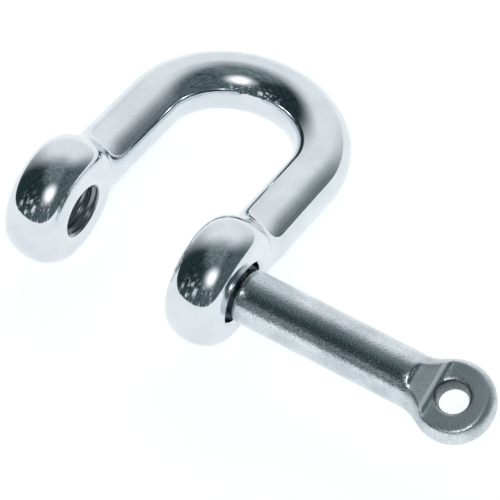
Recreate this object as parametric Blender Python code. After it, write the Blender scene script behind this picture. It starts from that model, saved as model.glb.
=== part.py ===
"""Dee shackle: a forged bow with two drilled ears and a screw pin with a flattened eye.

Metres, +Z up. The pin is drawn out of the far ear and still held by the near one, and the
shackle lies on its side, on both ears and the crown of its bow. Inside the frame empty the
pin axis is X, the legs of the bow run along +Y, and the bow's plane is Z = 0.
"""

import math

import bmesh
import bpy
from mathutils import Matrix, Vector

MM = 0.001

# Bow
ROD_DIAMETER = 8.0 * MM
JAW_WIDTH = 16.8 * MM  # clear width between the ears
INSIDE_LENGTH = 27.8 * MM  # clear length from the pin to the inside of the crown
EAR_DIAMETER = 17.4 * MM
EAR_THICKNESS = 7.6 * MM
EAR_RIM_DEPTH = 2.5 * MM  # how far in from its edge an ear's faces are rounded over
EAR_FILLET = 6.0 * MM  # radius where the edge of a leg runs into its ear
NECK_FULLNESS = 3.0  # how square the bar's section grows where it enters an ear (2 is round)
NECK_SINK = 0.1 * MM  # how far the bar's sides lie below the ear's faces inside the ear
LEG_OFFSET = 0.15 * MM  # the bar's centre line stands this far outside the ears' middles

# Pin
PIN_DIAMETER = 7.3 * MM
THREAD_LENGTH = 8.0 * MM
THREAD_DEPTH = 0.35 * MM  # the threaded end is this much smaller in radius than the shank
TIP_CHAMFER = 0.8 * MM
RELIEF_LENGTH = 1.0 * MM  # the groove where the thread runs out
RELIEF_DEPTH = 0.4 * MM
SHOULDER_RADIUS = 0.4 * MM
EYE_DIAMETER = 10.8 * MM
EYE_THICKNESS = 4.2 * MM
EYE_WAIST_DIAMETER = 3.8 * MM  # the eye's hole at its narrowest, half way through
EYE_MOUTH_DIAMETER = 5.1 * MM  # and at the eye's flats
NECK_FILLET = 4.4 * MM  # plan radius from the shank out to the eye
RIDGE_TO_EYE = 3.0 * MM  # from the eye's centre back to the ridge across the neck
RIDGE_HEIGHT = 0.6 * MM  # how far the ridge stands above the eye's flat
RIDGE_FOOT = 0.55 * MM  # length of the slope from the ridge down to the flat
HEAD_TURN = math.radians(27.8)  # the eye's flat, turned about the pin from the bow's plane

# Fits
NEAR_BORE_PLAY = 0.6 * MM  # radial play of the shank in the near ear
FAR_BORE_PLAY = 0.3 * MM  # radial play round the threaded end in the far ear
BORE_CHAMFER = 0.3 * MM
SEAT_GAP = 0.3 * MM  # left between the shank's shoulder and the far ear, screwed home
HEAD_GAP = 0.6 * MM  # left between the near ear and the start of the neck, screwed home
DRAWN_GAP = 0.2 * MM  # from the near ear out to the shoulder, drawn out

# Facets
BAR_SIDES = 48
EAR_SIDES = 72
PIN_SIDES = 64
HOLE_SIDES = 40
CROWN_STEPS = 30
FILLET_STEPS = 6
RIM_STEPS = 12
NECK_STEPS = 7
EYE_STEPS = 10
HOLE_STEPS = 10
CUT_MARGIN = 1.0 * MM  # how far a cutter runs past what it cuts

# What follows from them
ROD_RADIUS = ROD_DIAMETER / 2
PIN_RADIUS = PIN_DIAMETER / 2
EAR_RADIUS = EAR_DIAMETER / 2
EYE_RADIUS = EYE_DIAMETER / 2
EAR_MIDDLE = (JAW_WIDTH + EAR_THICKNESS) / 2
EAR_OUTER_FACE = EAR_MIDDLE + EAR_THICKNESS / 2
BEND_RADIUS = EAR_MIDDLE + LEG_OFFSET
CROWN_CENTRE = INSIDE_LENGTH + PIN_RADIUS + ROD_RADIUS - BEND_RADIUS
THREAD_RADIUS = PIN_RADIUS - THREAD_DEPTH
SHANK_LENGTH = JAW_WIDTH + EAR_THICKNESS - SEAT_GAP + HEAD_GAP
SHOULDER_DRAWN = EAR_OUTER_FACE + DRAWN_GAP


def fillet_run(circle_radius, half_width, fillet_radius):
    """Distance from a circle's centre along a bar to where the fillet between them starts."""
    reach = circle_radius + fillet_radius
    offset = half_width + fillet_radius
    return math.sqrt(reach * reach - offset * offset)


def fillet_points(circle_radius, half_width, fillet_radius, steps):
    """(distance, half width) along that fillet, from the circle out to the straight bar."""
    run = fillet_run(circle_radius, half_width, fillet_radius)
    offset = half_width + fillet_radius
    sweep = math.atan2(run, offset)
    points = []
    for step in range(steps + 1):
        angle = sweep * (1 - step / steps)
        distance = run - fillet_radius * math.sin(angle)
        points.append((distance, offset - fillet_radius * math.cos(angle)))
    return points


def section(centre, first, second, sides, fullness=2.0):
    """A ring of points round a centre: an ellipse, or squarer than one above a fullness of 2."""
    ring = []
    for side in range(sides):
        angle = 2 * math.pi * side / sides
        along = math.copysign(abs(math.cos(angle)) ** (2 / fullness), math.cos(angle))
        across = math.copysign(abs(math.sin(angle)) ** (2 / fullness), math.sin(angle))
        ring.append(centre + first * along + second * across)
    return ring


def loft(name, rings, end_point=None):
    """A closed skin over rings of equal count, capped flat or drawn to an end point."""
    shape = bmesh.new()
    loops = [[shape.verts.new(point) for point in ring] for ring in rings]
    sides = len(loops[0])
    for near, far in zip(loops, loops[1:]):
        for side in range(sides):
            after = (side + 1) % sides
            shape.faces.new((near[side], near[after], far[after], far[side]))
    shape.faces.new(loops[0])
    if end_point is None:
        shape.faces.new(loops[-1])
    else:
        pole = shape.verts.new(end_point)
        for side in range(sides):
            shape.faces.new((loops[-1][side], loops[-1][(side + 1) % sides], pole))
    bmesh.ops.recalc_face_normals(shape, faces=shape.faces)
    mesh = bpy.data.meshes.new(name)
    shape.to_mesh(mesh)
    shape.free()
    mesh.shade_smooth()
    mesh.set_sharp_from_angle(angle=math.radians(35))
    new_object = bpy.data.objects.new(name, mesh)
    bpy.context.scene.collection.objects.link(new_object)
    return new_object


def turned(name, profile, sides):
    """A body turned about X from (position, radius) points, with a facet's middle on +Y."""
    half_facet = Matrix.Rotation(math.pi / sides, 3, "X")
    first = half_facet @ Vector((0, 1, 0))
    second = half_facet @ Vector((0, 0, 1))
    rings = []
    for position, radius in profile:
        rings.append(section(Vector((position, 0, 0)), first * radius, second * radius, sides))
    return loft(name, rings)


def prism(name, outline, half_width):
    """A body of one (x, z) outline, as wide as twice half_width along Y."""
    rings = [[Vector((x, side, z)) for x, z in outline] for side in (-half_width, half_width)]
    return loft(name, rings)


def hide(helper, parent):
    """Keep a helper body out of the finished model."""
    helper.parent = parent
    helper.hide_render = True
    helper.display_type = "WIRE"


def combine(body, operation, helper):
    """Join a helper body to another, or cut it away."""
    step = body.modifiers.new(helper.name, "BOOLEAN")
    step.operation = operation
    step.solver = "EXACT"
    step.object = helper
    hide(helper, body.parent if operation == "UNION" else helper.parent or body.parent)


def steel(name, colour, roughness):
    """Bare stainless steel."""
    material = bpy.data.materials.new(name)
    material.use_nodes = True
    shader = material.node_tree.nodes["Principled BSDF"]
    shader.inputs["Base Color"].default_value = (*colour, 1)
    shader.inputs["Metallic"].default_value = 1
    shader.inputs["Roughness"].default_value = roughness
    return material


def bar_rings():
    """Sections of the bar, from the middle of one ear round the crown to the other."""
    side_run = fillet_points(EAR_RADIUS, ROD_RADIUS, EAR_FILLET, FILLET_STEPS)
    flare_start = side_run[0][0]
    flare_length = side_run[-1][0] - flare_start
    sunk_depth = EAR_THICKNESS / 2 - NECK_SINK
    leg = [(0, side_run[0][1], 0)]
    for distance, half_width in side_run:
        blend = (distance - flare_start) / flare_length
        leg.append((distance, half_width, blend * blend * (3 - 2 * blend)))

    def leg_ring(side, distance, half_width, roundness):
        centre = Vector((side * (EAR_MIDDLE + LEG_OFFSET * roundness), distance, 0))
        half_depth = sunk_depth + (ROD_RADIUS - sunk_depth) * roundness
        outward = Vector((side * half_depth, 0, 0))
        upward = Vector((0, 0, half_width))
        fullness = NECK_FULLNESS + (2 - NECK_FULLNESS) * roundness
        return section(centre, outward, upward, BAR_SIDES, fullness)

    rings = [leg_ring(1, *station) for station in leg]
    for step in range(CROWN_STEPS + 1):
        angle = math.pi * step / CROWN_STEPS
        outward = Vector((math.cos(angle), math.sin(angle), 0))
        centre = Vector((0, CROWN_CENTRE, 0)) + outward * BEND_RADIUS
        rings.append(section(centre, outward * ROD_RADIUS, Vector((0, 0, ROD_RADIUS)), BAR_SIDES))
    rings += [leg_ring(-1, *station) for station in reversed(leg)]
    return rings


def ear(name, side):
    """A thick disc about the pin axis, its faces rolled over into a crowned rim."""
    profile = []
    for step in range(RIM_STEPS + 1):
        angle = math.pi * (step / RIM_STEPS - 0.5)
        position = side * EAR_MIDDLE + EAR_THICKNESS / 2 * math.sin(angle)
        profile.append((position, EAR_RADIUS - EAR_RIM_DEPTH * (1 - math.cos(angle))))
    return turned(name, profile, EAR_SIDES)


def bore(name, side, radius):
    """A cutter for a through hole in one ear, with a chamfer at both faces."""
    flare = BORE_CHAMFER + CUT_MARGIN
    middle = side * EAR_MIDDLE
    half = EAR_THICKNESS / 2
    profile = [
        (middle - half - CUT_MARGIN, radius + flare),
        (middle - half + BORE_CHAMFER, radius),
        (middle + half - BORE_CHAMFER, radius),
        (middle + half + CUT_MARGIN, radius + flare),
    ]
    return turned(name, profile, PIN_SIDES)


def make_bow(frame):
    bow = loft("bow", bar_rings())
    bow.parent = frame
    combine(bow, "UNION", ear("near_ear_form", 1))
    combine(bow, "UNION", ear("far_ear_form", -1))
    combine(bow, "DIFFERENCE", bore("near_bore_cutter", 1, PIN_RADIUS + NEAR_BORE_PLAY))
    combine(bow, "DIFFERENCE", bore("far_bore_cutter", -1, THREAD_RADIUS + FAR_BORE_PLAY))
    bow.data.materials.append(steel("polished_steel", (0.76, 0.8, 0.83), 0.08))
    return bow


def pin_rings():
    """Sections of the pin about its own axis, with its shoulder at X = 0."""
    relief_radius = THREAD_RADIUS - RELIEF_DEPTH
    turned_end = [
        (-THREAD_LENGTH, THREAD_RADIUS - TIP_CHAMFER),
        (-THREAD_LENGTH + TIP_CHAMFER, THREAD_RADIUS),
        (-RELIEF_LENGTH - RELIEF_DEPTH, THREAD_RADIUS),
        (-RELIEF_LENGTH, relief_radius),
        (0, relief_radius),
    ]
    for angle in (0, 30, 60, 90):
        turn = math.radians(angle)
        along = SHOULDER_RADIUS * (1 - math.cos(turn))
        turned_end.append((along, PIN_RADIUS - SHOULDER_RADIUS * (1 - math.sin(turn))))
    stations = [(position, radius, radius) for position, radius in turned_end]
    neck = fillet_points(EYE_RADIUS, PIN_RADIUS, NECK_FILLET, NECK_STEPS)
    eye_centre = SHANK_LENGTH + neck[-1][0]
    for distance, half_width in reversed(neck):
        stations.append((eye_centre - distance, half_width, PIN_RADIUS))
    tangent = math.acos(neck[0][0] / EYE_RADIUS)
    for step in range(1, EYE_STEPS):
        angle = tangent + (math.pi - tangent) * step / EYE_STEPS
        across = math.sin(angle)
        thickness = PIN_RADIUS if angle < math.pi / 2 else PIN_RADIUS * across
        stations.append((eye_centre - EYE_RADIUS * math.cos(angle), EYE_RADIUS * across, thickness))
    rings = []
    for position, half_width, half_depth in stations:
        centre = Vector((position, 0, 0))
        rings.append(section(centre, Vector((0, half_width, 0)), Vector((0, 0, half_depth)), PIN_SIDES))
    return rings, eye_centre


def flat_cutter(name, eye_centre, side):
    """What one pressed face takes away: a ramp, a ridge, its foot and the eye's flat."""
    flat = EYE_THICKNESS / 2
    ridge = eye_centre - RIDGE_TO_EYE
    above = PIN_RADIUS + CUT_MARGIN
    slope = (PIN_RADIUS - flat - RIDGE_HEIGHT) / (ridge - SHANK_LENGTH)
    beyond = eye_centre + EYE_RADIUS + CUT_MARGIN
    outline = [
        (SHANK_LENGTH - CUT_MARGIN / slope, above),
        (ridge, flat + RIDGE_HEIGHT),
        (ridge + RIDGE_FOOT, flat),
        (beyond, flat),
        (beyond, above),
    ]
    return prism(name, [(x, side * z) for x, z in outline], EYE_RADIUS + CUT_MARGIN)


def eye_hole_cutter(eye_centre):
    """A cutter for the eye's hole, along the pin's own Z, with a waist rounded like a fairlead's."""
    waist = EYE_WAIST_DIAMETER / 2
    widening = EYE_MOUTH_DIAMETER / 2 - waist
    reach = EYE_THICKNESS / 2 + CUT_MARGIN
    rings = []
    for step in range(HOLE_STEPS + 1):
        height = reach * (2 * step / HOLE_STEPS - 1)
        share = height / (EYE_THICKNESS / 2)
        size = waist + widening * share * share
        centre = Vector((eye_centre, 0, height))
        rings.append(section(centre, Vector((size, 0, 0)), Vector((0, size, 0)), HOLE_SIDES))
    return loft("eye_hole_cutter", rings)


def make_pin(frame):
    carrier = bpy.data.objects.new("pin_axis", None)
    bpy.context.scene.collection.objects.link(carrier)
    carrier.parent = frame
    carrier.location = (SHOULDER_DRAWN, 0, 0)
    carrier.rotation_euler = (HEAD_TURN, 0, 0)
    rings, eye_centre = pin_rings()
    tip = Vector((eye_centre + EYE_RADIUS, 0, 0))
    pin = loft("screw_pin", rings, tip)
    pin.parent = carrier
    combine(pin, "DIFFERENCE", flat_cutter("upper_flat_cutter", eye_centre, 1))
    combine(pin, "DIFFERENCE", flat_cutter("lower_flat_cutter", eye_centre, -1))
    combine(pin, "DIFFERENCE", eye_hole_cutter(eye_centre))
    pin.data.materials.append(steel("tumbled_steel", (0.62, 0.66, 0.69), 0.32))
    return pin


def lay_down(frame, pieces):
    """Lean the frame until ears and crown touch the floor, and centre it over the origin."""
    crown_reach = CROWN_CENTRE + BEND_RADIUS
    frame.rotation_euler = (-math.asin((EAR_RADIUS - ROD_RADIUS) / crown_reach), 0, 0)
    bpy.context.view_layer.update()
    depsgraph = bpy.context.evaluated_depsgraph_get()
    points = []
    for piece in pieces:
        solid = piece.evaluated_get(depsgraph)
        points += [solid.matrix_world @ vertex.co for vertex in solid.data.vertices]
    low = [min(point[axis] for point in points) for axis in range(3)]
    high = [max(point[axis] for point in points) for axis in range(3)]
    frame.location = (-(low[0] + high[0]) / 2, -(low[1] + high[1]) / 2, -low[2])
    bpy.context.view_layer.update()


def main():
    for old in list(bpy.data.objects):
        bpy.data.objects.remove(old, do_unlink=True)
    frame = bpy.data.objects.new("shackle_frame", None)
    bpy.context.scene.collection.objects.link(frame)
    bow = make_bow(frame)
    pin = make_pin(frame)
    lay_down(frame, (bow, pin))


main()
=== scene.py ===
import math

import bmesh
import bpy
from mathutils import Matrix, Vector


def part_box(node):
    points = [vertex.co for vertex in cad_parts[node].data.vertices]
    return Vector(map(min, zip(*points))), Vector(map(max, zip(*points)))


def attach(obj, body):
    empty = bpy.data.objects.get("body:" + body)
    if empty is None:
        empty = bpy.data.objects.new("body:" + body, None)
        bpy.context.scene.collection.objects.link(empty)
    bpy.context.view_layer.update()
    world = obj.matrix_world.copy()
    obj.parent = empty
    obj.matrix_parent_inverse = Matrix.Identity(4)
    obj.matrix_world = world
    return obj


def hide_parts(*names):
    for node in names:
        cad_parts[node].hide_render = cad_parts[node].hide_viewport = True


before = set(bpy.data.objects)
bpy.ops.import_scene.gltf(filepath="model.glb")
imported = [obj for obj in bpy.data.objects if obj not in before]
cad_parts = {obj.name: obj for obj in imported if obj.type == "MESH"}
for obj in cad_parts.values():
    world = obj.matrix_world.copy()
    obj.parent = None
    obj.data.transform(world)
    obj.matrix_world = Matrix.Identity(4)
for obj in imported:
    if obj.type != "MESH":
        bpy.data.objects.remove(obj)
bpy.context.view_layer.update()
scene = bpy.context.scene
scene.view_settings.view_transform = "Standard"  # plain greys, with no film curve
mm = 0.001
merged = 1e-7  # points closer than this, in metres, become one


def newPiece(name, mesh):
    data = bpy.data.meshes.new(name)
    mesh.to_mesh(data)
    mesh.free()
    piece = bpy.data.objects.new(name, data)
    scene.collection.objects.link(piece)
    return piece


def baked(piece):
    # the piece with its modifiers worked in, as a plain mesh
    depsgraph = bpy.context.evaluated_depsgraph_get()
    data = bpy.data.meshes.new_from_object(piece.evaluated_get(depsgraph))
    piece.modifiers.clear()
    old = piece.data
    piece.data = data
    bpy.data.meshes.remove(old)
    return piece


def cut(piece, operation, tools):
    for tool in tools:
        step = piece.modifiers.new(tool.name, "BOOLEAN")
        step.operation = operation
        step.solver = "EXACT"
        step.object = tool
    baked(piece)
    for tool in tools:
        bpy.data.objects.remove(tool)
    return piece


def squircle(point, fullness):
    # pushes a unit circle's point out towards a square
    power = 2 / fullness
    return Vector((
        math.copysign(abs(point.x) ** power, point.x),
        math.copysign(abs(point.y) ** power, point.y),
        0,
    ))


def skin(name, stations, sides, tip=None):
    # a closed skin bridged over rings; a station is (placement matrix, fullness)
    mesh = bmesh.new()
    rings = []
    for place, fullness in stations:
        ring = bmesh.ops.create_circle(mesh, cap_ends=False, radius=1, segments=sides)["verts"]
        for vertex in ring:
            vertex.co = place @ squircle(vertex.co, fullness)
        rings.append(ring)
    edges = [list({edge for vertex in ring for edge in vertex.link_edges}) for ring in rings]
    for near, far in zip(edges, edges[1:]):
        bmesh.ops.bridge_loops(mesh, edges=near + far)
    bmesh.ops.contextual_create(mesh, geom=edges[0])
    if tip is None:
        bmesh.ops.contextual_create(mesh, geom=edges[-1])
    else:
        cap = bmesh.ops.contextual_create(mesh, geom=edges[-1])["faces"]
        pole = bmesh.ops.poke(mesh, faces=cap)["verts"][0]
        pole.co = tip
    bmesh.ops.recalc_face_normals(mesh, faces=mesh.faces)
    return newPiece(name, mesh)


def turned(name, profile, sides):
    # a solid turned about X from (x, radius) points
    mesh = bmesh.new()
    points = [mesh.verts.new((x, radius, 0)) for x, radius in profile]
    edges = [mesh.edges.new(pair) for pair in zip(points, points[1:])]
    bmesh.ops.spin(mesh, geom=points + edges, cent=(0, 0, 0), axis=(1, 0, 0), dvec=(0, 0, 0),
                   angle=math.tau, steps=sides, use_merge=True, use_duplicate=False)
    bmesh.ops.remove_doubles(mesh, verts=mesh.verts, dist=merged)
    bmesh.ops.holes_fill(mesh, edges=[edge for edge in mesh.edges if edge.is_boundary], sides=0)
    bmesh.ops.recalc_face_normals(mesh, faces=mesh.faces)
    return newPiece(name, mesh)


def threadScrew(name, start, length, root, crest, pitch, sides):
    # a solid screw along X from start; its flanks are sloped, with narrow flats at crest and root
    mesh = bmesh.new()
    rootFlat = 0.12  # as shares of the pitch
    crestFlat = 0.06
    outline = [
        (0, root),
        (rootFlat, root),
        (0.5 - crestFlat, crest),
        (0.5 + crestFlat, crest),
        (1 - rootFlat, root),
        (1, root),
    ]
    turns = math.ceil(length / pitch) + 1
    points = [mesh.verts.new((start + (x - 1) * pitch, radius, 0)) for x, radius in outline]
    edges = [mesh.edges.new(pair) for pair in zip(points, points[1:])]
    bmesh.ops.spin(mesh, geom=points + edges, cent=(0, 0, 0), axis=(1, 0, 0),
                   dvec=(pitch / sides, 0, 0), angle=math.tau * turns, steps=sides * turns,
                   use_merge=False, use_duplicate=False)
    bmesh.ops.remove_doubles(mesh, verts=mesh.verts, dist=merged)
    bmesh.ops.holes_fill(mesh, edges=[edge for edge in mesh.edges if edge.is_boundary], sides=0)
    bmesh.ops.recalc_face_normals(mesh, faces=mesh.faces)
    return newPiece(name, mesh)


def soften(piece, voxel, rounds):
    # one even skin over the joined forms, its creases worn round
    rubbing = 0.5  # how far each round moves a point towards its neighbours' middle
    remesh = piece.modifiers.new("even_skin", "REMESH")
    remesh.mode = "VOXEL"
    remesh.voxel_size = voxel
    baked(piece)
    mesh = bmesh.new()
    mesh.from_mesh(piece.data)
    for _ in range(rounds):
        bmesh.ops.smooth_vert(mesh, verts=mesh.verts, factor=rubbing,
                              use_axis_x=True, use_axis_y=True, use_axis_z=True)
    mesh.to_mesh(piece.data)
    mesh.free()
    return piece


def smoothShade(piece, degrees):
    piece.data.shade_smooth()
    piece.data.set_sharp_from_angle(angle=math.radians(degrees))


def settle(piece, place, body, node):
    # puts the finished piece where its CAD node is
    piece.data.transform(place)
    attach(piece, body)
    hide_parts(node)


bow = {
    "rod": 8.0 * mm,
    "jaw": 16.8 * mm,
    "insideLength": 27.8 * mm,
    "earWidth": 17.4 * mm,
    "earThickness": 7.6 * mm,
    "rimDepth": 2.5 * mm,
    "rimFullness": 2.15,  # how tight the edge is between an ear's flat and its crowned rim
    "earFillet": 5.0 * mm,
    "neckSink": 0.1 * mm,  # how far the bar's sides lie below an ear's faces
    "legOffset": 0.15 * mm,  # how far outside the ears' middles the bar runs
    "barStart": 5.2 * mm,  # the bar's end lies this far from the pin axis, inside the ear
    "nearBore": 8.5 * mm,
    "farBore": 6.8 * mm,
    "threadPitch": 1.25 * mm,
    "threadDepth": 0.4 * mm,
    "chamfer": 0.3 * mm,
    "barSides": 128,
    "earSides": 180,
    "crownSteps": 90,
    "filletSteps": 24,
    "rimSteps": 48,
    "threadSides": 72,
    "voxel": 0.22 * mm,
    "wornRounds": 6,
    "sharpAngle": 32,
}

cutMargin = 1 * mm  # how far a cutter runs past what it cuts
threadOverlap = 0.01 * mm  # how far a screw and the wall it meets overlap


def filletPoints(circleRadius, halfWidth, fillet, steps):
    # (distance, half width) where a bar's edge runs into a circle, from the circle outwards
    reach = circleRadius + fillet
    offset = halfWidth + fillet
    run = math.sqrt(reach * reach - offset * offset)
    sweep = math.atan2(run, offset)
    points = []
    for step in range(steps + 1):
        angle = sweep * (1 - step / steps)
        points.append((run - fillet * math.sin(angle), offset - fillet * math.cos(angle)))
    return points


def ringPlace(centre, first, second):
    third = first.cross(second).normalized()
    return Matrix((
        (first.x, second.x, third.x, centre.x),
        (first.y, second.y, third.y, centre.y),
        (first.z, second.z, third.z, centre.z),
        (0, 0, 0, 1),
    ))


def bowBar():
    rod = bow["rod"] / 2
    earRadius = bow["earWidth"] / 2
    earMiddle = (bow["jaw"] + bow["earThickness"]) / 2
    sunk = bow["earThickness"] / 2 - bow["neckSink"]
    bend = earMiddle + bow["legOffset"]
    crownCentre = bow["insideLength"] + pin["diameter"] / 2 + rod - bend
    flare = filletPoints(earRadius, rod, bow["earFillet"], bow["filletSteps"])
    leg = [(bow["barStart"], flare[0][1], 0)]
    for distance, halfWidth in flare:
        blend = (distance - flare[0][0]) / (flare[-1][0] - flare[0][0])
        leg.append((distance, halfWidth, blend * blend * (3 - 2 * blend)))

    def legRing(side, distance, halfWidth, roundness):
        centre = Vector((side * (earMiddle + bow["legOffset"] * roundness), distance, 0))
        halfDepth = sunk + (rod - sunk) * roundness
        return ringPlace(centre, Vector((side * halfDepth, 0, 0)), Vector((0, 0, halfWidth))), 2

    stations = [legRing(1, *station) for station in leg]
    for step in range(bow["crownSteps"] + 1):
        angle = math.pi * step / bow["crownSteps"]
        outward = Vector((math.cos(angle), math.sin(angle), 0))
        centre = Vector((0, crownCentre, 0)) + outward * bend
        stations.append((ringPlace(centre, outward * rod, Vector((0, 0, rod))), 2))
    stations += [legRing(-1, *station) for station in reversed(leg)]
    return skin("bow_polished", stations, bow["barSides"])


def bowEar(name, side):
    half = bow["earThickness"] / 2
    earMiddle = (bow["jaw"] + bow["earThickness"]) / 2
    power = 2 / bow["rimFullness"]
    profile = []
    for step in range(bow["rimSteps"] + 1):
        angle = math.pi * (step / bow["rimSteps"] - 0.5)
        along = math.copysign(abs(math.sin(angle)) ** power, angle)
        roll = 1 - abs(math.cos(angle)) ** power
        profile.append((side * earMiddle + half * along, bow["earWidth"] / 2 - bow["rimDepth"] * roll))
    return turned(name, profile, bow["earSides"])


def boreCutter(name, side, radius):
    middle = side * (bow["jaw"] + bow["earThickness"]) / 2
    half = bow["earThickness"] / 2
    flare = bow["chamfer"] + cutMargin
    return turned(name, [
        (middle - half - cutMargin, radius + flare),
        (middle - half + bow["chamfer"], radius),
        (middle + half - bow["chamfer"], radius),
        (middle + half + cutMargin, radius + flare),
    ], bow["earSides"])


def makeBow():
    piece = bowBar()
    cut(piece, "UNION", [bowEar("nearEar", 1), bowEar("farEar", -1)])
    soften(piece, bow["voxel"], bow["wornRounds"])
    farMiddle = -(bow["jaw"] + bow["earThickness"]) / 2
    length = bow["earThickness"] + 2 * cutMargin
    core = bow["farBore"] / 2
    tools = [
        boreCutter("nearBore", 1, bow["nearBore"] / 2),
        boreCutter("farBore", -1, core),
        threadScrew("farThread", farMiddle - length / 2, length, core - threadOverlap,
                    core + bow["threadDepth"], bow["threadPitch"], bow["threadSides"]),
    ]
    cut(piece, "DIFFERENCE", tools)
    smoothShade(piece, bow["sharpAngle"])
    return piece


pin = {
    "diameter": 7.3 * mm,
    "threadLength": 8.0 * mm,
    "threadCrest": 3.3 * mm,
    "threadRoot": 2.9 * mm,
    "threadPitch": 1.25 * mm,
    "tipChamfer": 0.8 * mm,
    "reliefLength": 1.4 * mm,
    "reliefRadius": 2.85 * mm,
    "shoulderRadius": 0.4 * mm,
    "shankLength": 24.7 * mm,
    "eyeWidth": 10.8 * mm,
    "eyeThickness": 4.2 * mm,
    "eyeWaist": 3.8 * mm,
    "eyeMouth": 4.5 * mm,
    "neckFillet": 4.4 * mm,
    "headFullness": 2.4,
    "ridgeToEye": 3.0 * mm,
    "ridgeHeight": 0.6 * mm,
    "ridgeCrest": 0.4 * mm,
    "ridgeCrestDrop": 0.12 * mm,  # how far the crest slopes down towards the eye
    "ridgeFoot": 0.45 * mm,
    "facetReach": 2.6 * mm,  # the half-moon facet, from the ridge towards the shank
    "facetHalfWidth": 4.1 * mm,
    "facetRise": 0.4 * mm,
    "facetLip": 0.04 * mm,  # how far the facet's cutter runs on past the ridge's edge
    "dipLength": 1.0 * mm,  # the top of the shank sinks over this length, before the neck
    "dipRadius": 4.5 * mm,
    "dipDepth": 0.3 * mm,
    "headTurn": math.radians(27.8),
    "sides": 128,
    "shoulderSteps": 8,
    "dipSteps": 8,
    "neckSteps": 24,
    "eyeSteps": 40,
    "holeSides": 96,
    "holeSteps": 16,
    "facetSides": 96,
    "threadSides": 72,
    "blankSides": 144,
    "voxel": 0.12 * mm,
    "wornRounds": 14,
    "sharpAngle": 40,
}


def eyeCentre():
    reach = filletPoints(pin["eyeWidth"] / 2, pin["diameter"] / 2, pin["neckFillet"], 1)[-1][0]
    return pin["shankLength"] + reach


def dip(run):
    # how far the top of the shank has sunk, towards the pressed head
    return min(run * run / (2 * pin["dipRadius"]), pin["dipDepth"])


def pinBody():
    # the shank, swelling into the round head, before its faces are pressed flat
    radius = pin["diameter"] / 2
    eye = pin["eyeWidth"] / 2
    soft = pin["shoulderRadius"]
    middle = eyeCentre()
    neck = filletPoints(eye, radius, pin["neckFillet"], pin["neckSteps"])
    rows = []  # (distance along the pin, half width, half depth, fullness)
    for step in range(pin["shoulderSteps"] + 1):
        turn = math.pi / 2 * step / pin["shoulderSteps"]
        around = radius - soft * (1 - math.sin(turn))
        rows.append((soft * (1 - math.cos(turn)), around, around, 2))
    dipStart = pin["shankLength"] - pin["dipLength"]
    for step in range(pin["dipSteps"]):
        x = dipStart + pin["dipLength"] * step / pin["dipSteps"]
        rows.append((x, radius, radius - dip(x - dipStart), 2))
    for distance, halfWidth in reversed(neck):
        swell = (neck[-1][0] - distance) / (neck[-1][0] - neck[0][0])
        fullness = 2 + (pin["headFullness"] - 2) * swell * swell * (3 - 2 * swell)
        x = middle - distance
        rows.append((x, halfWidth, radius - dip(x - dipStart), fullness))
    tangent = math.acos(neck[0][0] / eye)
    for step in range(1, pin["eyeSteps"]):
        angle = tangent + (math.pi - tangent) * step / pin["eyeSteps"]
        across = math.sin(angle)
        depth = (radius - pin["dipDepth"]) * (1 if angle < math.pi / 2 else across)
        rows.append((middle - eye * math.cos(angle), eye * across, depth, pin["headFullness"]))
    stations = []
    for x, halfWidth, halfDepth, fullness in rows:
        place = ringPlace(Vector((x, 0, 0)), Vector((0, halfWidth, 0)), Vector((0, 0, halfDepth)))
        stations.append((place, fullness))
    return skin("screw_pin_tumbled", stations, pin["sides"], Vector((middle + eye, 0, 0)))


def faceCutter(name, side):
    # presses one face of the head flat, up to the foot of the ridge
    flat = pin["eyeThickness"] / 2
    ridge = eyeCentre() - pin["ridgeToEye"]
    above = pin["diameter"] / 2 + cutMargin
    beyond = eyeCentre() + pin["eyeWidth"] / 2 + cutMargin
    crest = ridge + pin["ridgeCrest"]
    outline = [
        (ridge, above),
        (ridge, flat + pin["ridgeHeight"]),
        (crest, flat + pin["ridgeHeight"] - pin["ridgeCrestDrop"]),
        (crest + pin["ridgeFoot"], flat),
        (beyond, flat),
        (beyond, above),
    ]
    mesh = bmesh.new()
    width = pin["eyeWidth"] / 2 + cutMargin
    points = [mesh.verts.new((x, -width, side * z)) for x, z in outline]
    face = mesh.faces.new(points)
    grown = bmesh.ops.extrude_face_region(mesh, geom=[face])["geom"]
    moved = [part for part in grown if isinstance(part, bmesh.types.BMVert)]
    bmesh.ops.translate(mesh, vec=(0, 2 * width, 0), verts=moved)
    bmesh.ops.recalc_face_normals(mesh, faces=mesh.faces)
    return newPiece(name, mesh)


def facetCutter(name, side):
    # presses the half-moon facet between the shank and the ridge
    ridge = eyeCentre() - pin["ridgeToEye"]
    low = pin["eyeThickness"] / 2 + pin["ridgeHeight"]
    mesh = bmesh.new()
    bmesh.ops.create_circle(mesh, cap_ends=True, radius=1, segments=pin["facetSides"])
    bmesh.ops.scale(mesh, vec=(pin["facetReach"], pin["facetHalfWidth"], 1), verts=mesh.verts)
    bmesh.ops.bisect_plane(mesh, geom=mesh.verts[:] + mesh.edges[:] + mesh.faces[:],
                           plane_co=(pin["facetLip"], 0, 0), plane_no=(1, 0, 0), clear_outer=True)
    grown = bmesh.ops.extrude_face_region(mesh, geom=mesh.faces[:])["geom"]
    raised = [part for part in grown if isinstance(part, bmesh.types.BMVert)]
    for vertex in mesh.verts:
        climb = max(0, -vertex.co.x / pin["facetReach"])
        vertex.co.z = side * (low + pin["facetRise"] * climb)
        vertex.co.x += ridge
    bmesh.ops.translate(mesh, vec=(0, 0, side * pin["diameter"] / 2), verts=raised)
    bmesh.ops.recalc_face_normals(mesh, faces=mesh.faces)
    return newPiece(name, mesh)


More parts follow.
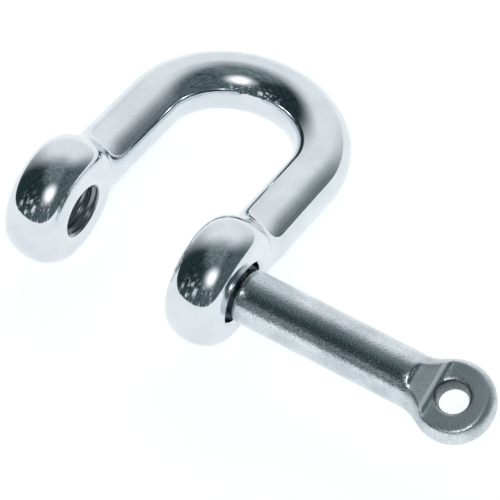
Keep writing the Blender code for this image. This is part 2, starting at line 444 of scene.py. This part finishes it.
def eyeCutter():
    # the eye's hole, rounded in to a waist half way through
    waist = pin["eyeWaist"] / 2
    half = pin["eyeThickness"] / 2
    profile = []
    for step in range(2 * pin["holeSteps"] + 1):
        height = (half + cutMargin) * (step / pin["holeSteps"] - 1)
        profile.append((height, waist + (pin["eyeMouth"] / 2 - waist) * (height / half) ** 2))
    tool = turned("eyeHole", profile, pin["holeSides"])
    tool.data.transform(Matrix.Translation((eyeCentre(), 0, 0)) @ Matrix.Rotation(math.pi / 2, 4, "Y"))
    return tool


def pinThread():
    # the threaded end: a turned blank, kept only where the screw is
    crest = pin["threadCrest"]
    relief = pin["reliefRadius"]
    step = crest - relief
    length = pin["threadLength"]
    inside = 0.5 * mm  # how far the blank runs on into the shank
    blank = turned("threadBlank", [
        (-length, crest - pin["tipChamfer"]),
        (-length + pin["tipChamfer"], crest),
        (-pin["reliefLength"] - step, crest),
        (-pin["reliefLength"], relief),
        (inside, relief),
    ], pin["blankSides"])
    screw = threadScrew("threadForm", -length - cutMargin, length + 2 * cutMargin, pin["threadRoot"],
                        crest + threadOverlap, pin["threadPitch"], pin["threadSides"])
    return cut(blank, "INTERSECT", [screw])


def makePin():
    piece = pinBody()
    tools = [eyeCutter()]
    for name, side in (("upper", 1), ("lower", -1)):
        tools += [faceCutter(name + "Face", side), facetCutter(name + "Facet", side)]
    cut(piece, "DIFFERENCE", tools)
    soften(piece, pin["voxel"], pin["wornRounds"])
    cut(piece, "UNION", [pinThread()])
    smoothShade(piece, pin["sharpAngle"])
    return piece


bowLow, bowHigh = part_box("bow")
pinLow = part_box("screw_pin")[0]
earRadius = bow["earWidth"] / 2
crownReach = bow["insideLength"] + pin["diameter"] / 2 + bow["rod"]
lean = -math.asin((earRadius - bow["rod"] / 2) / crownReach)
axisPoint = Vector(((bowLow.x + bowHigh.x) / 2, bowLow.y + earRadius, bowLow.z + earRadius))
bowPlace = Matrix.Translation(axisPoint) @ Matrix.Rotation(lean, 4, "X")
shoulder = Vector((pinLow.x + pin["threadLength"], axisPoint.y, axisPoint.z))
pinPlace = Matrix.Translation(shoulder) @ Matrix.Rotation(lean + pin["headTurn"], 4, "X")

bowPiece = makeBow()
settle(bowPiece, bowPlace, "bow", "bow")
print("bow made:", len(bowPiece.data.polygons), "faces")
pinPiece = makePin()
settle(pinPiece, pinPlace, "pin", "screw_pin")
print("pin made:", len(pinPiece.data.polygons), "faces")


def node(tree, kind, inputs=(), **settings):
    # one shader node; an input is a value or another node's output
    made = tree.nodes.new("ShaderNode" + kind)
    for key, value in settings.items():
        setattr(made, key, value)
    for key, value in dict(inputs).items():
        socket = made.inputs[key]
        if isinstance(value, bpy.types.NodeSocket):
            tree.links.new(value, socket)
        else:
            socket.default_value = value
    return made


def maths(tree, operation, *values):
    return node(tree, "Math", dict(enumerate(values)), operation=operation).outputs[0]


def dotWith(tree, vector, direction):
    return node(tree, "VectorMath", {0: vector, 1: direction}, operation="DOT_PRODUCT").outputs["Value"]


def ease(tree, value, start, end):
    # 0 at start, 1 at end, eased
    fade = node(tree, "MapRange", {"Value": value, "From Min": start, "From Max": end},
                interpolation_type="SMOOTHSTEP")
    return fade.outputs["Result"]


def noise(tree, place, scale, detail, roughness=0.5):
    # cloudy values from 0 to 1
    inputs = {"Vector": place, "Scale": scale, "Detail": detail, "Roughness": roughness}
    return node(tree, "TexNoise", inputs).outputs["Fac"]


def mixed(tree, share, first, second):
    mix = node(tree, "Mix", {0: share}, data_type="RGBA")
    for socket, value in ((mix.inputs[6], first), (mix.inputs[7], second)):
        if isinstance(value, bpy.types.NodeSocket):
            tree.links.new(value, socket)
        else:
            socket.default_value = (*value, 1)
    return mix.outputs[2]


camera = {
    "aim": Vector((-4.81, -8.73, 8.7)) * mm,
    "azimuth": math.radians(28.10),  # 0 looks along +Y
    "elevation": math.radians(51.08),
    "roll": math.radians(4.38),
    "distance": 342.8 * mm,
    "lens": 192.25,
    "sensor": 36,
    "nearest": 0.01,
    "farthest": 20,
}


def towards(azimuth, elevation):
    level = math.cos(elevation)
    return Vector((math.sin(azimuth) * level, -math.cos(azimuth) * level, math.sin(elevation)))


def makeCamera():
    data = bpy.data.cameras.new("camera")
    data.lens = camera["lens"]
    data.sensor_width = camera["sensor"]
    data.clip_start = camera["nearest"]
    data.clip_end = camera["farthest"]
    holder = bpy.data.objects.new("camera", data)
    scene.collection.objects.link(holder)
    back = towards(camera["azimuth"], camera["elevation"])
    turn = back.to_track_quat("Z", "Y").to_matrix().to_4x4() @ Matrix.Rotation(camera["roll"], 4, "Z")
    holder.matrix_world = Matrix.Translation(camera["aim"] + back * camera["distance"]) @ turn
    scene.camera = holder


studio = {
    "backdropMiddle": math.radians(-160),  # azimuths and elevations as for the camera
    "backdropHalf": math.radians(48),
    "backdropSoft": math.radians(30),
    "backdropTop": math.radians(60),
    "backdropTopSoft": math.radians(22),
    "backdrop": (0.91, 0.94, 0.955),
    "room": (0.086, 0.118, 0.127),
    "roomDeep": (0.020, 0.034, 0.038),
    "deepMiddle": (math.radians(-64), math.radians(36)),
    "deepInner": math.radians(22),
    "deepOuter": math.radians(65),
    "overhead": (0.16, 0.20, 0.21),
    "overheadStart": math.radians(58),
    "overheadFull": math.radians(80),
    "clutterScale": 11.0,
    "clutterDetail": 6.0,
    "clutterRoughness": 0.72,
    "clutterRange": (0.3, 0.7),
    "clutterDarkest": 0.25,
    "clutterLightest": 2.0,
    "speck": (0.75, 0.8, 0.83),
    "speckScale": 9.0,
    "speckDetail": 2.0,
    "speckRoughness": 0.6,
    "speckStretch": (1, 1, 0.4),
    "speckRange": (0.555, 0.665),
    "speckLow": math.radians(22),
    "speckHigh": math.radians(48),
    "speckMiddle": (math.radians(5), math.radians(20)),
    "speckInner": math.radians(30),
    "speckOuter": math.radians(60),
    "softbox": 1.3,
    "softboxInner": math.radians(5),
    "softboxOuter": math.radians(28),
    "softboxFalloff": 1.5,
    "bulb": 9.0,
    "bulbOuter": math.radians(9),
    "background": (0.96, 0.965, 0.97),
    "floor": (0.9, 0.905, 0.91),
    "floorRadius": 2,
    "floorSides": 96,
    "floorRoughness": 0.9,
    "floorSpecular": 0.1,
    "floorGlow": 0.59,  # as the steel sees it
    "floorSeen": 0.62,  # as the eye sees it
    "sun": 0.5,
    "sunPlace": (math.radians(-20), math.radians(70)),
    "sunSpread": math.radians(70),
}


def studioRoom(tree, look, elevation):
    # a dim room in front and overhead, uneven, with small bright things low down
    deep = ease(tree, dotWith(tree, look, towards(*studio["deepMiddle"])),
                math.cos(studio["deepOuter"]), math.cos(studio["deepInner"]))
    room = mixed(tree, deep, studio["room"], studio["roomDeep"])
    high = ease(tree, elevation, studio["overheadStart"], studio["overheadFull"])
    room = mixed(tree, high, room, studio["overhead"])
    clutter = noise(tree, look, studio["clutterScale"], studio["clutterDetail"], studio["clutterRoughness"])
    patchy = node(tree, "MapRange", {
        "Value": clutter,
        "From Min": studio["clutterRange"][0],
        "From Max": studio["clutterRange"][1],
        "To Min": studio["clutterDarkest"],
        "To Max": studio["clutterLightest"],
    }).outputs["Result"]
    room = node(tree, "VectorMath", {0: room, "Scale": patchy}, operation="SCALE").outputs[0]
    upright = node(tree, "VectorMath", {0: look, 1: studio["speckStretch"]}, operation="MULTIPLY").outputs[0]
    things = noise(tree, upright, studio["speckScale"], studio["speckDetail"], studio["speckRoughness"])
    low = ease(tree, elevation, studio["speckHigh"], studio["speckLow"])
    front = dotWith(tree, look, towards(*studio["speckMiddle"]))
    near = ease(tree, front, math.cos(studio["speckOuter"]), math.cos(studio["speckInner"]))
    there = maths(tree, "MULTIPLY", low, near)
    share = maths(tree, "MULTIPLY", ease(tree, things, *studio["speckRange"]), there)
    return mixed(tree, share, room, studio["speck"])


def makeWorld():
    world = bpy.data.worlds.new("studio")
    world.use_nodes = True
    tree = world.node_tree
    tree.nodes.clear()
    look = node(tree, "TexCoord").outputs["Generated"]
    elevation = maths(tree, "ARCSINE", node(tree, "SeparateXYZ", {0: look}).outputs["Z"])
    middle = towards(studio["backdropMiddle"], 0)
    beside = Vector((-middle.y, middle.x, 0))
    swing = maths(tree, "ARCTAN2", dotWith(tree, look, beside), dotWith(tree, look, middle))
    half = studio["backdropHalf"]
    soft = studio["backdropSoft"]
    across = ease(tree, maths(tree, "ABSOLUTE", swing), half + soft, half - soft)
    top = studio["backdropTop"]
    upward = ease(tree, elevation, top + studio["backdropTopSoft"], top - studio["backdropTopSoft"])
    backdrop = maths(tree, "MULTIPLY", across, upward)
    scenery = mixed(tree, backdrop, studioRoom(tree, look, elevation), studio["backdrop"])
    aside = maths(tree, "ARCCOSINE", dotWith(tree, look, towards(camera["azimuth"], camera["elevation"])))
    spread = ease(tree, aside, studio["softboxOuter"], studio["softboxInner"])
    faded = maths(tree, "POWER", spread, studio["softboxFalloff"])
    softbox = maths(tree, "MULTIPLY", faded, studio["softbox"])
    core = maths(tree, "MULTIPLY", ease(tree, aside, studio["bulbOuter"], 0), studio["bulb"])
    lamps = maths(tree, "ADD", softbox, core)
    surroundings = node(tree, "Background", {"Color": scenery, "Strength": 1.0}).outputs[0]
    lamp = node(tree, "Background", {"Color": (1, 1, 1, 1), "Strength": lamps}).outputs[0]
    seen = node(tree, "Background", {"Color": (*studio["background"], 1), "Strength": 1.0}).outputs[0]
    lit = node(tree, "AddShader", {0: surroundings, 1: lamp}).outputs[0]
    ray = node(tree, "LightPath").outputs["Is Camera Ray"]
    node(tree, "OutputWorld", {"Surface": node(tree, "MixShader", {0: ray, 1: lit, 2: seen}).outputs[0]})
    scene.world = world


def makeFloor():
    mesh = bmesh.new()
    bmesh.ops.create_circle(mesh, cap_ends=True, radius=studio["floorRadius"],
                           segments=studio["floorSides"])
    floor = newPiece("floor", mesh)
    paper = bpy.data.materials.new("white_paper")
    paper.use_nodes = True
    tree = paper.node_tree
    shader = tree.nodes["Principled BSDF"]
    shader.inputs["Base Color"].default_value = (*studio["floor"], 1)
    shader.inputs["Roughness"].default_value = studio["floorRoughness"]
    shader.inputs["Specular IOR Level"].default_value = studio["floorSpecular"]
    shader.inputs["Emission Color"].default_value = (*studio["floor"], 1)
    ray = node(tree, "LightPath").outputs["Is Camera Ray"]
    levels = {"Value": ray, "To Min": studio["floorGlow"], "To Max": studio["floorSeen"]}
    glow = node(tree, "MapRange", levels).outputs["Result"]
    tree.links.new(glow, shader.inputs["Emission Strength"])
    floor.data.materials.append(paper)


def makeSun():
    data = bpy.data.lights.new("soft_sun", "SUN")
    data.energy = studio["sun"]
    data.angle = studio["sunSpread"]
    sun = bpy.data.objects.new("soft_sun", data)
    scene.collection.objects.link(sun)
    sun.matrix_world = towards(*studio["sunPlace"]).to_track_quat("Z", "Y").to_matrix().to_4x4()
    sun.visible_glossy = False


wearLook = {
    "cloudScale": 230.0,
    "cloudDetail": 5.0,
    "cloudRange": (0.36, 0.66),
    "scratchScale": (500, 2900, 2500),  # long along X, narrow across it
    "scratchDetail": 2.0,
    "scratchRange": (0.6, 0.72),
    "scratchRoughness": 0.02,
    "creaseRange": (0.485, 0.43),
    "waveDetail": 1.5,
    "grainDetail": 3.0,
    "mottleRange": (0.42, 0.62),
    "smoothest": 0.75,
    "roughest": 1.3,
}

finishInputs = ("Smooth", "Dull", "Wave Scale", "Wave Depth", "Grain Scale", "Grain Depth", "Grain Roughness")


def makeWearAndCreaseShadeGroup():
    # what both steels share: cloudy tone, polishing waves, grain, a crease mask for painted shade, and fine
    # scratches
    group = bpy.data.node_groups.new("steelWearAndCreaseShade", "ShaderNodeTree")
    group.interface.new_socket("Place", in_out="INPUT", socket_type="NodeSocketVector")
    for name in ("Dullness", *finishInputs):
        group.interface.new_socket(name, in_out="INPUT", socket_type="NodeSocketFloat")
    for name in ("Tone", "Mottle", "Scratches", "Creases", "Roughness"):
        group.interface.new_socket(name, in_out="OUTPUT", socket_type="NodeSocketFloat")
    group.interface.new_socket("Normal", in_out="OUTPUT", socket_type="NodeSocketVector")
    given = group.nodes.new("NodeGroupInput").outputs
    place = given["Place"]
    cloud = noise(group, place, wearLook["cloudScale"], wearLook["cloudDetail"])
    tone = ease(group, cloud, *wearLook["cloudRange"])
    stretch = {0: place, 1: wearLook["scratchScale"]}
    drawn = node(group, "VectorMath", stretch, operation="MULTIPLY").outputs[0]
    lines = noise(group, drawn, 1.0, wearLook["scratchDetail"])
    scratches = ease(group, lines, *wearLook["scratchRange"])
    # the crease mask, which the steel uses to paint shade into the creases
    hollow = node(group, "NewGeometry").outputs["Pointiness"]
    creases = ease(group, hollow, *wearLook["creaseRange"])
    waves = noise(group, place, given["Wave Scale"], wearLook["waveDetail"])
    grain = noise(group, place, given["Grain Scale"], wearLook["grainDetail"])
    mottle = ease(group, grain, *wearLook["mottleRange"])
    wavy = node(group, "Bump", {"Distance": given["Wave Depth"], "Height": waves}).outputs[0]
    fine = node(group, "Bump", {
        "Distance": given["Grain Depth"],
        "Height": grain,
        "Normal": wavy,
    }).outputs[0]
    base = node(group, "Mix", {0: given["Dullness"], 2: given["Smooth"], 3: given["Dull"]}).outputs[0]
    uneven = node(group, "MapRange", {
        "Value": tone,
        "To Min": wearLook["smoothest"],
        "To Max": wearLook["roughest"],
    }).outputs["Result"]
    rough = maths(group, "MULTIPLY", base, uneven)
    rough = maths(group, "MULTIPLY_ADD", scratches, wearLook["scratchRoughness"], rough)
    rough = maths(group, "MULTIPLY_ADD", mottle, given["Grain Roughness"], rough)
    end = group.nodes.new("NodeGroupOutput").inputs
    for name, value in (
        ("Tone", tone),
        ("Mottle", mottle),
        ("Scratches", scratches),
        ("Creases", creases),
        ("Roughness", rough),
        ("Normal", fine),
    ):
        group.links.new(value, end[name])
    return group


def fromAxis(tree, place, centre, along):
    # distance of a surface point from an axis
    offset = node(tree, "VectorMath", {0: place, 1: centre}, operation="SUBTRACT").outputs[0]
    ray = node(tree, "VectorMath", {0: offset, 1: along}, operation="CROSS_PRODUCT").outputs[0]
    return node(tree, "VectorMath", {0: ray}, operation="LENGTH").outputs["Value"]


def makeSteel(name, finish, group, dullness, shadeMask, rubbing):
    material = bpy.data.materials.new(name)
    material.use_nodes = True
    tree = material.node_tree
    shader = tree.nodes["Principled BSDF"]
    shader.inputs["Metallic"].default_value = 1
    place = node(tree, "TexCoord").outputs["Object"]
    wear = tree.nodes.new("ShaderNodeGroup")
    wear.node_tree = group
    tree.links.new(place, wear.inputs["Place"])
    for key in finishInputs:
        wear.inputs[key].default_value = finish[key]
    tree.links.new(dullness(tree, place), wear.inputs["Dullness"])
    mottled = maths(tree, "MULTIPLY", wear.outputs["Mottle"], finish["mottling"])
    scratched = maths(tree, "MULTIPLY", wear.outputs["Scratches"], finish["scratching"])
    creased = maths(tree, "MULTIPLY", wear.outputs["Creases"], finish["creaseShade"])
    # worn places that are also painted lighter: a painted highlight on the pin ridge's crest, a lighter band
    # at the far bore's mouth
    rubbedSheen = rubbing(tree, place)
    colour = mixed(tree, wear.outputs["Tone"], finish["light"], finish["shade"])
    colour = mixed(tree, mottled, colour, finish["pit"])
    colour = mixed(tree, scratched, colour, finish["light"])
    # painted shade in the creases
    colour = mixed(tree, creased, colour, finish["paintedShade"])
    # painted shade in the bores, the eye's wall and the thread roots
    colour = mixed(tree, shadeMask(tree, place), colour, finish["paintedShade"])
    colour = mixed(tree, rubbedSheen, colour, finish["rubbedSheen"])
    worn = {0: rubbedSheen, 2: wear.outputs["Roughness"], 3: finish["rubbedRoughness"]}
    tree.links.new(colour, shader.inputs["Base Color"])
    tree.links.new(node(tree, "Mix", worn).outputs[0], shader.inputs["Roughness"])
    tree.links.new(wear.outputs["Normal"], shader.inputs["Normal"])
    return material


polished = {
    "light": (0.76, 0.80, 0.825),
    "shade": (0.70, 0.74, 0.765),
    "paintedShade": (0.20, 0.23, 0.245),
    "pit": (0.60, 0.64, 0.665),
    "mottling": 0.12,
    "scratching": 0.2,
    "creaseShade": 0.0,
    "rubbedSheen": (0.78, 0.82, 0.845),
    "rubbedRoughness": 0.12,
    "Smooth": 0.045,
    "Dull": 0.26,
    "Wave Scale": 420.0,
    "Wave Depth": 0.012 * mm,
    "Grain Scale": 2400.0,
    "Grain Depth": 0.0008 * mm,
    "Grain Roughness": 0.02,
}

tumbled = {
    "light": (0.75, 0.79, 0.815),
    "shade": (0.58, 0.63, 0.66),
    "paintedShade": (0.10, 0.125, 0.135),
    "pit": (0.34, 0.40, 0.42),
    "mottling": 0.35,
    "scratching": 0.2,
    "creaseShade": 0.4,
    "rubbedSheen": (0.94, 0.96, 0.97),
    "rubbedRoughness": 0.7,
    "Smooth": 0.05,
    "Dull": 0.32,
    "Wave Scale": 1900.0,
    "Wave Depth": 0.006 * mm,
    "Grain Scale": 4200.0,
    "Grain Depth": 0.036 * mm,
    "Grain Roughness": 0.10,
}


masks = {
    "boreEdge": 0.06 * mm,  # how fast a bore's mask fades outside its wall
    "plainDullness": 0.3,
    # how strong the painted shade is on the plain near bore and on the threaded far bore
    "plainShade": 0.15,
    "threadedShade": 0.8,
    "mouthOffset": 0.3 * mm,  # the middle of the worn ring that is painted lighter, outside the thread's root
    "mouthInner": 0.1 * mm,
    "mouthOuter": 0.5 * mm,
    "crestInner": 0.16 * mm,
    "crestOuter": 0.34 * mm,
    "crestLow": 0.2 * mm,  # heights above the eye's flat
    "crestHigh": 0.35 * mm,
    "headFade": 0.6 * mm,
    "eyeOuter": 0.25 * mm,
    "eyeInner": 0.15 * mm,
    # how strong the painted shade in the pin's thread roots is
    "rootShade": 0.7,
}


def xOf(tree, vector):
    return node(tree, "SeparateXYZ", {0: vector}).outputs["X"]


def boreWalls(tree, place):
    # 1 on each bore's wall: first the threaded far one, then the plain near one
    distance = fromAxis(tree, place, axisPoint, (1, 0, 0))
    nearSide = maths(tree, "GREATER_THAN", xOf(tree, place), axisPoint.x)
    farSide = maths(tree, "SUBTRACT", 1, nearSide)
    threadRoot = bow["farBore"] / 2 + bow["threadDepth"]
    plainWall = bow["nearBore"] / 2
    threaded = ease(tree, distance, threadRoot + masks["boreEdge"], threadRoot)
    plain = ease(tree, distance, plainWall + masks["boreEdge"], plainWall)
    return maths(tree, "MULTIPLY", threaded, farSide), maths(tree, "MULTIPLY", plain, nearSide)


def boreDullness(tree, place):
    threaded, plain = boreWalls(tree, place)
    return maths(tree, "MULTIPLY_ADD", plain, masks["plainDullness"], threaded)


# painted shade on the bores' walls, strongest in the threaded far bore
def boreShade(tree, place):
    threaded, plain = boreWalls(tree, place)
    boreShaded = maths(tree, "MULTIPLY", threaded, masks["threadedShade"])
    return maths(tree, "MULTIPLY_ADD", plain, masks["plainShade"], boreShaded)


def mouthRubAndSheen(tree, place):
    # the tapped bore's mouth, touched by the pin's thread, painted as a lighter band clear of the bore's
    # painted shade
    distance = fromAxis(tree, place, axisPoint, (1, 0, 0))
    middle = bow["farBore"] / 2 + bow["threadDepth"] + masks["mouthOffset"]
    aside = maths(tree, "ABSOLUTE", maths(tree, "SUBTRACT", distance, middle))
    ring = ease(tree, aside, masks["mouthOuter"], masks["mouthInner"])
    farSide = maths(tree, "LESS_THAN", xOf(tree, place), axisPoint.x)
    return maths(tree, "MULTIPLY", ring, farSide)


def ridgeRubAndSheen(tree, place):
    # the crest of the ridge on each pressed face, worn, and painted bright as a painted highlight
    offset = node(tree, "VectorMath", {0: place, 1: shoulder}, operation="SUBTRACT").outputs[0]
    crest = eyeCentre() - pin["ridgeToEye"] + pin["ridgeCrest"] / 2
    aside = maths(tree, "ABSOLUTE", maths(tree, "SUBTRACT", xOf(tree, offset), crest))
    along = ease(tree, aside, masks["crestOuter"], masks["crestInner"])
    height = maths(tree, "ABSOLUTE", dotWith(tree, offset, pinPlace.to_3x3() @ Vector((0, 0, 1))))
    foot = pin["eyeThickness"] / 2
    raised = ease(tree, height, foot + masks["crestLow"], foot + masks["crestHigh"])
    return maths(tree, "MULTIPLY", along, raised)


def headDullness(tree, place):
    # 1 on the pressed head, 0 on the shank
    start = shoulder.x + pin["shankLength"]
    return ease(tree, xOf(tree, place), start, start + masks["headFade"])


def eyeShade(tree, place):
    # painted shade: a darker wall in the eye, and darker thread roots
    through = pinPlace.to_3x3() @ Vector((0, 0, 1))
    distance = fromAxis(tree, place, pinPlace @ Vector((eyeCentre(), 0, 0)), through)
    mouth = pin["eyeMouth"] / 2
    wall = ease(tree, distance, mouth + masks["eyeOuter"], mouth - masks["eyeInner"])
    spread = fromAxis(tree, place, shoulder, (1, 0, 0))
    root = ease(tree, spread, pin["threadCrest"], pin["threadRoot"])
    thread = maths(tree, "MULTIPLY", root, maths(tree, "LESS_THAN", xOf(tree, place), shoulder.x))
    return maths(tree, "MAXIMUM", wall, maths(tree, "MULTIPLY", thread, masks["rootShade"]))


makeCamera()
makeWorld()
makeFloor()
makeSun()
wearAndCreaseShadeGroup = makeWearAndCreaseShadeGroup()
bowSteel = makeSteel("polished_steel", polished, wearAndCreaseShadeGroup, boreDullness, boreShade, mouthRubAndSheen)
pinSteel = makeSteel("tumbled_steel", tumbled, wearAndCreaseShadeGroup, headDullness, eyeShade, ridgeRubAndSheen)
bowPiece.data.materials.append(bowSteel)
pinPiece.data.materials.append(pinSteel)
print("studio and finishes made")
